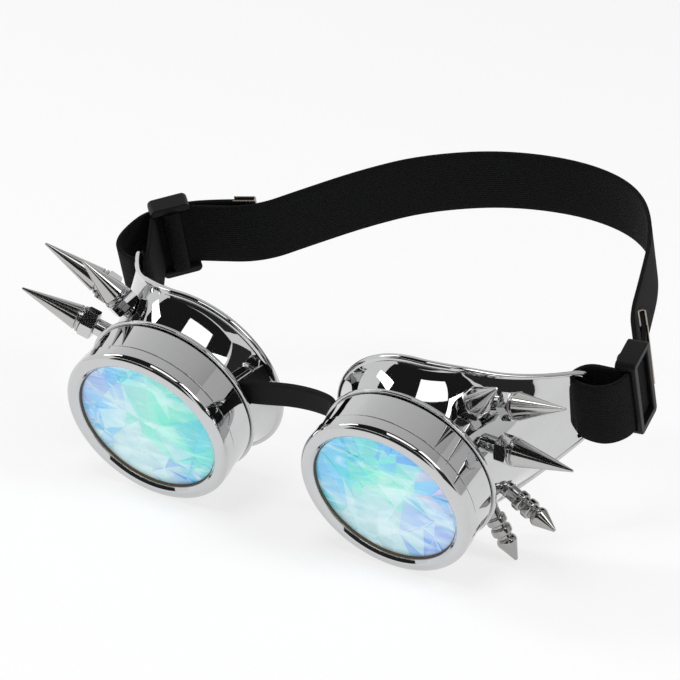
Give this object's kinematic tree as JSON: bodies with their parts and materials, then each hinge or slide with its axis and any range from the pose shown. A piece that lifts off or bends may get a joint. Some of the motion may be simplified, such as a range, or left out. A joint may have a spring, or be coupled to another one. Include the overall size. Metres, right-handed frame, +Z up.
{
  "type": "steampunk goggles",
  "caption": "Goggles with flared plated eyecups, screw bezels, faceted lenses, cone spikes and turned studs, on an elastic head strap with slide buckles",
  "frame": {"origin": "middle of the overall footprint, on the surface that the goggles stand on", "axes": "+X to the viewer's right seen from the front of the lenses, +Y towards the head strap, +Z up; the lenses look along -Y and a little down"},
  "size_m": [0.2074, 0.165, 0.0984],
  "materials": {
    "plated_shell": "mirror-bright plating",
    "spike_plate": "polished plating with fine turning lines",
    "nut_steel": "bright nickel",
    "stud_gunmetal": "dark nickel",
    "screw_steel": "zinc plated",
    "lens_glass": "clear, with a colour-shifting coat on its facets",
    "gasket_rubber": "matt black",
    "strap_elastic": "black woven elastic",
    "bridge_strap": "black webbing",
    "buckle_plastic": "black, satin",
    "tip_metal": "dull nickelled brass"
  },
  "bodies": {
    "left_cup": {"left_eyecup": "plated_shell", "left_upper_spike": "spike_plate", "left_middle_spike": "spike_plate", "left_lower_spike": "spike_plate", "left_front_stud": "stud_gunmetal", "left_rear_stud": "stud_gunmetal", "left_spike_nuts": "nut_steel", "left_spike_screws": "screw_steel", "left_stud_screws": "screw_steel", "left_strap_loop": "strap_elastic", "left_strap_tip": "tip_metal", "nose_bridge": "bridge_strap", "head_strap": "strap_elastic"},
    "left_lens_set": {"left_lens": "lens_glass", "left_lens_gasket": "gasket_rubber"},
    "left_bezel": {"left_bezel": "plated_shell"},
    "left_buckle": {"left_slide_buckle": "buckle_plastic"},
    "right_cup": {"right_eyecup": "plated_shell", "right_upper_spike": "spike_plate", "right_middle_spike": "spike_plate", "right_lower_spike": "spike_plate", "right_front_stud": "stud_gunmetal", "right_rear_stud": "stud_gunmetal", "right_spike_nuts": "nut_steel", "right_spike_screws": "screw_steel", "right_stud_screws": "screw_steel", "right_strap_loop": "strap_elastic", "right_strap_tip": "tip_metal"},
    "right_lens_set": {"right_lens": "lens_glass", "right_lens_gasket": "gasket_rubber"},
    "right_bezel": {"right_bezel": "plated_shell"},
    "right_buckle": {"right_slide_buckle": "buckle_plastic"}
  },
  "joints": [
    {"name": "bridge_fold", "type": "hinge", "parent": "left_cup", "child": "right_cup", "pos_m": [-0.00144, -0.05475, 0.04463], "axis": [0, -0.3638, 0.9315], "range_deg": [-15, 25], "stiffness_Nm_per_rad": 0.2, "deforming": ["nose_bridge", "head_strap"]},
    {"name": "left_lens_advance", "type": "slide", "parent": "left_cup", "child": "left_lens_set", "axis": [0, -0.9315, -0.3638], "range_m": [0, 0.004]},
    {"name": "left_bezel_turn", "type": "hinge", "parent": "left_lens_set", "child": "left_bezel", "pos_m": [-0.04684, -0.07178, 0.02831], "axis": [0, -0.9315, -0.3638], "range_deg": [0, 720]},
    {"name": "left_buckle_slide", "type": "slide", "parent": "left_cup", "child": "left_buckle", "axis": [0.7314, 0.6353, 0.2481], "range_m": [-0.002, 0.003]},
    {"name": "right_lens_advance", "type": "slide", "parent": "right_cup", "child": "right_lens_set", "axis": [0, -0.9315, -0.3638], "range_m": [0, 0.004]},
    {"name": "right_bezel_turn", "type": "hinge", "parent": "right_lens_set", "child": "right_bezel", "pos_m": [0.04396, -0.07178, 0.02831], "axis": [0, -0.9315, -0.3638], "range_deg": [0, 720]},
    {"name": "right_buckle_slide", "type": "slide", "parent": "right_cup", "child": "right_buckle", "axis": [-0.1045, 0.9264, 0.3619], "range_m": [-0.002, 0.003]}
  ],
  "couplings": [
    {"joint": "left_lens_advance", "follows": "left_bezel_turn", "m_per_rad": 0.0003183},
    {"joint": "right_lens_advance", "follows": "right_bezel_turn", "m_per_rad": 0.0003183}
  ]
}
